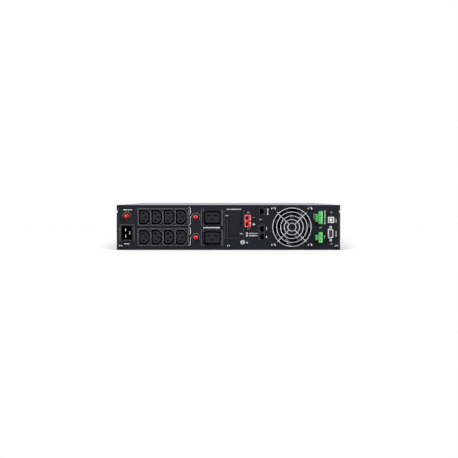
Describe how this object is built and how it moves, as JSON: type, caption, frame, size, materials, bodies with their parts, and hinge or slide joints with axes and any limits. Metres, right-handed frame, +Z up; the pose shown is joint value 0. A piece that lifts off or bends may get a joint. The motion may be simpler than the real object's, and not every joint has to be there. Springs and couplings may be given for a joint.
{
  "type": "rackmount uninterruptible power supply",
  "caption": "Rack-mount uninterruptible power supply with outlets, breakers, ports and a guarded fan on its connection panel, a battery drawer and a turning display.",
  "frame": {"origin": "on the underside, midway across the chassis and midway between its rear edge and the bezel's front", "axes": "+Z up, -Y out of the connection panel, +Y out of the front bezel, +X to the right seen from the connection panel"},
  "size_m": [0.4826, 0.652, 0.088],
  "materials": {
    "chassis_paint": "satin black powder coat",
    "panel_paint": "satin blue-black powder coat",
    "bezel_plastic": "fine-textured black",
    "outlet_plastic": "satin black",
    "core_plastic": "satin dark grey",
    "bright_steel": "nickel plated",
    "black_screw": "black zinc",
    "red_button": "gloss",
    "nut_plastic": "satin grey",
    "red_housing": "satin",
    "green_plastic": "satin green",
    "fan_plastic": "black",
    "guard_wire": "bright plated wire",
    "board": "green solder mask",
    "aluminium": "mill finish",
    "capacitor": "sleeved",
    "copper": "enamelled copper",
    "zinc_sheet": "zinc-plated sheet",
    "battery_case": "dark grey case",
    "plug_grey": "grey",
    "jack_metal": "tin plated",
    "jack_plastic": "dark grey",
    "contact": "plated",
    "display_gloss": "gloss black",
    "window": "smoked",
    "key": "soft touch"
  },
  "bodies": {
    "chassis": {"chassis_base": "chassis_paint", "top_cover": "chassis_paint", "cover_screws": "black_screw", "rack_ear_left": "chassis_paint", "rack_ear_right": "chassis_paint", "ear_screws": "black_screw", "front_frame": "chassis_paint", "bay_wall": "zinc_sheet", "tray_guides": "zinc_sheet", "rear_panel": "panel_paint", "rear_panel_screws": "black_screw", "port_screws": "black_screw", "inlet_housing": "outlet_plastic", "inlet_pins": "bright_steel", "outlet_bank_upper": "outlet_plastic", "outlet_bank_lower": "outlet_plastic", "outlet_cores": "core_plastic", "large_outlet_housings": "outlet_plastic", "large_outlet_cores": "core_plastic", "breaker_bodies": "fan_plastic", "breaker_nuts": "nut_plastic", "slot_cover": "panel_paint", "slot_cover_screws": "black_screw", "battery_port_housing": "red_housing", "battery_port_contacts": "contact", "battery_port_screws": "black_screw", "ground_screw": "bright_steel", "emergency_jack": "jack_plastic", "network_jacks": "jack_plastic", "usb_port": "jack_metal", "serial_port": "jack_metal", "serial_standoffs": "bright_steel", "terminal_headers": "green_plastic", "fan_frame": "fan_plastic", "fan_guard": "guard_wire", "fan_screws": "black_screw", "power_board": "board", "board_posts": "bright_steel", "heat_sinks": "aluminium", "capacitors": "capacitor", "inductors": "copper", "filter_board": "board", "comm_board": "board", "front_bezel": "bezel_plastic"},
    "fan_rotor": {"fan_rotor": "fan_plastic"},
    "battery_drawer": {"battery_tray": "zinc_sheet", "battery_blocks": "battery_case", "battery_lead_plug": "plug_grey", "battery_bezel": "bezel_plastic"},
    "display": {"display_housing": "display_gloss", "display_window": "window"},
    "power_key": {"power_key": "key"},
    "up_key": {"up_key": "key"},
    "down_key": {"down_key": "key"},
    "enter_key": {"enter_key": "key"},
    "breaker_button_input": {"breaker_button_input": "red_button"},
    "breaker_button_upper": {"breaker_button_upper": "red_button"},
    "breaker_button_lower": {"breaker_button_lower": "red_button"},
    "terminal_plug_upper": {"terminal_plug_upper": "green_plastic"},
    "terminal_plug_lower": {"terminal_plug_lower": "green_plastic"}
  },
  "joints": [
    {"name": "input_breaker_trip", "type": "slide", "parent": "chassis", "child": "breaker_button_input", "axis": [0, -1, 0], "range_m": [0, 0.004]},
    {"name": "upper_breaker_trip", "type": "slide", "parent": "chassis", "child": "breaker_button_upper", "axis": [0, -1, 0], "range_m": [0, 0.004]},
    {"name": "lower_breaker_trip", "type": "slide", "parent": "chassis", "child": "breaker_button_lower", "axis": [0, -1, 0], "range_m": [0, 0.004]},
    {"name": "upper_terminal_unplug", "type": "slide", "parent": "chassis", "child": "terminal_plug_upper", "axis": [0, -1, 0], "range_m": [0, 0.012]},
    {"name": "lower_terminal_unplug", "type": "slide", "parent": "chassis", "child": "terminal_plug_lower", "axis": [0, -1, 0], "range_m": [0, 0.012]},
    {"name": "fan_spin", "type": "hinge", "parent": "chassis", "child": "fan_rotor", "pos_m": [0.1241, -0.304, 0.0445], "axis": [0, 1, 0], "continuous": true},
    {"name": "battery_drawer_slide", "type": "slide", "parent": "chassis", "child": "battery_drawer", "axis": [0, 1, 0], "range_m": [0, 0.4]},
    {"name": "display_turn", "type": "hinge", "parent": "chassis", "child": "display", "pos_m": [-0.16, 0.3, 0.044], "axis": [0, 1, 0], "range_deg": [0, 90]},
    {"name": "power_key_press", "type": "slide", "parent": "display", "child": "power_key", "axis": [0, -1, 0], "range_m": [0, 0.0012], "stiffness_N_per_m": 400},
    {"name": "up_key_press", "type": "slide", "parent": "display", "child": "up_key", "axis": [0, -1, 0], "range_m": [0, 0.0012], "stiffness_N_per_m": 400},
    {"name": "down_key_press", "type": "slide", "parent": "display", "child": "down_key", "axis": [0, -1, 0], "range_m": [0, 0.0012], "stiffness_N_per_m": 400},
    {"name": "enter_key_press", "type": "slide", "parent": "display", "child": "enter_key", "axis": [0, -1, 0], "range_m": [0, 0.0012], "stiffness_N_per_m": 400}
  ]
}
